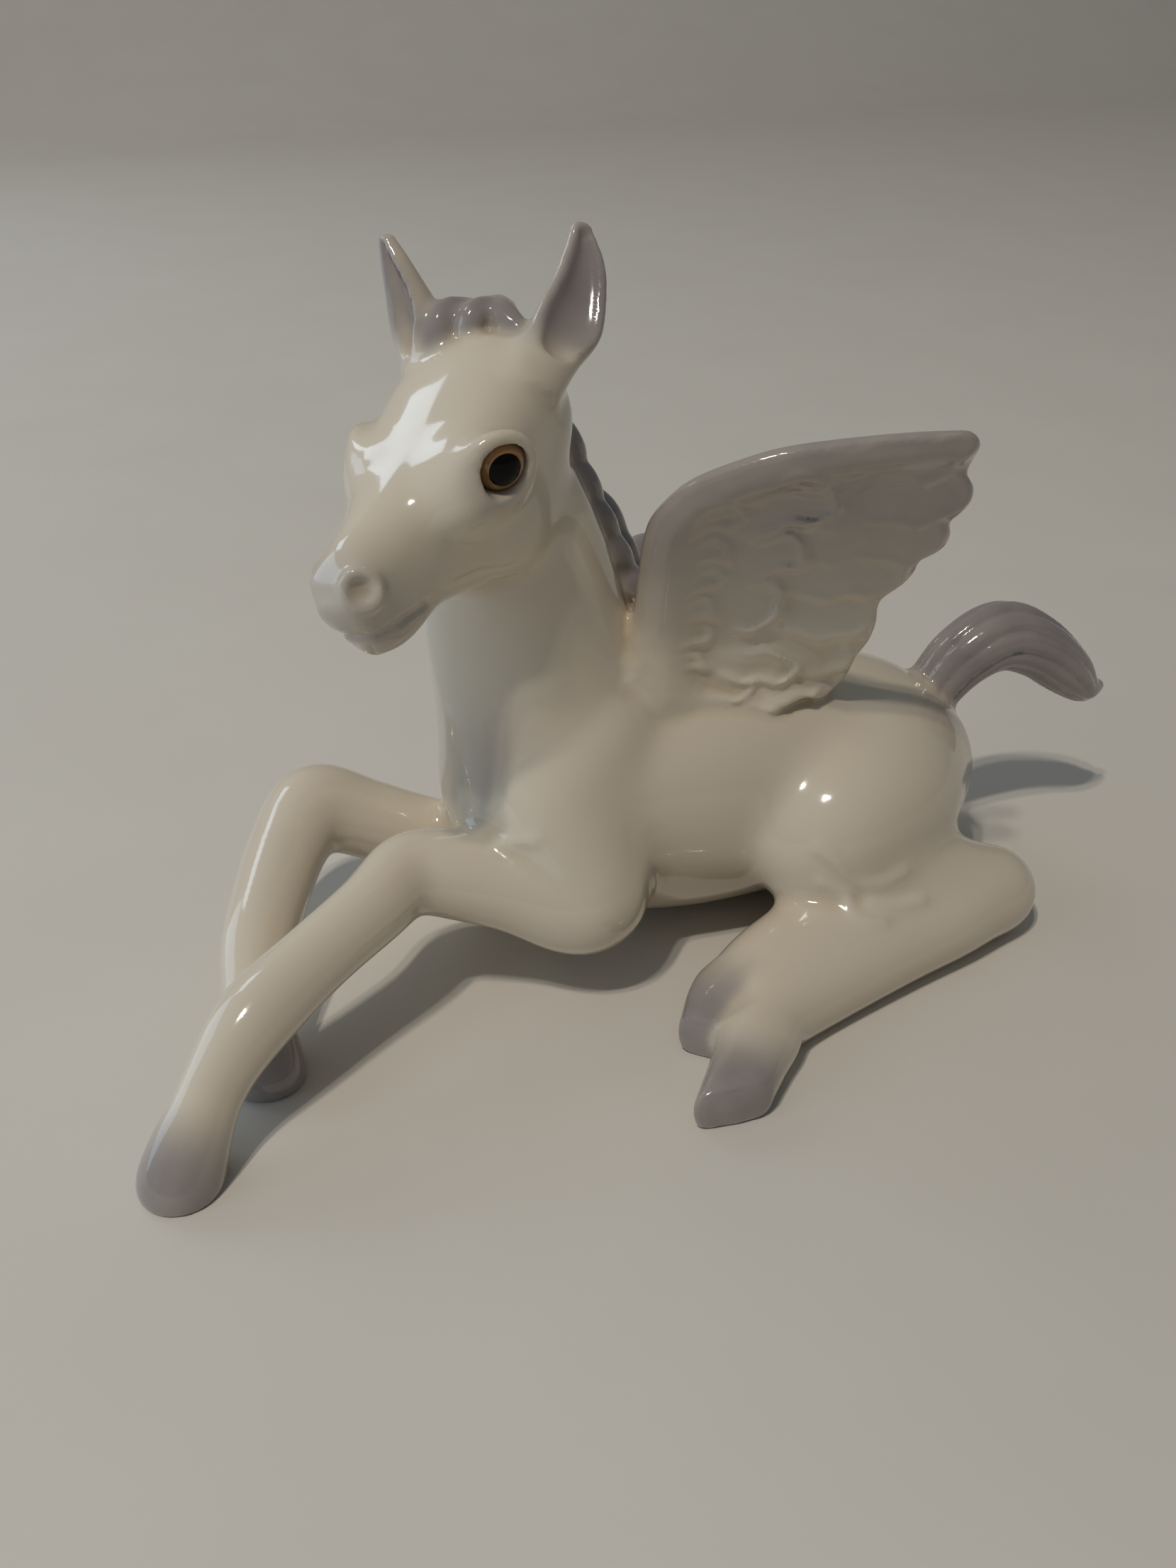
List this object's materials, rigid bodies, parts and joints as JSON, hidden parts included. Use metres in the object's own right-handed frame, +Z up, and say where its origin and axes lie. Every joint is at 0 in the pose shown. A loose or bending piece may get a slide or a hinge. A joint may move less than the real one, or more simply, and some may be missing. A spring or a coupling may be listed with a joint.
{
  "type": "pegasus figurine",
  "caption": "Glazed earthenware figurine of a lying winged foal with raised head, one lifted wing, arched tail and inset amber glass eyes; stands free on a shelf.",
  "frame": {"origin": "middle of the figure's footprint box, on the table it rests on", "axes": "+X towards the tail, so the foal faces -X; +Y towards its right flank; +Z up"},
  "size_m": [0.3229, 0.1662, 0.2049],
  "materials": {
    "white_glaze": "gloss",
    "lilac_glaze": "gloss",
    "amber_glass": "polished",
    "black_enamel": "gloss"
  },
  "bodies": {
    "root": {"torso": "white_glaze", "head_and_neck": "white_glaze", "left_ear": "lilac_glaze", "right_ear": "lilac_glaze", "forelock": "lilac_glaze", "mane": "lilac_glaze", "left_wing": "lilac_glaze", "right_wing": "lilac_glaze", "left_foreleg": "white_glaze", "right_foreleg": "white_glaze", "left_hind_leg": "white_glaze", "right_hind_leg": "white_glaze", "tail": "lilac_glaze", "left_eye_glass": "amber_glass", "right_eye_glass": "amber_glass", "left_pupil": "black_enamel", "right_pupil": "black_enamel"}
  },
  "joints": []
}
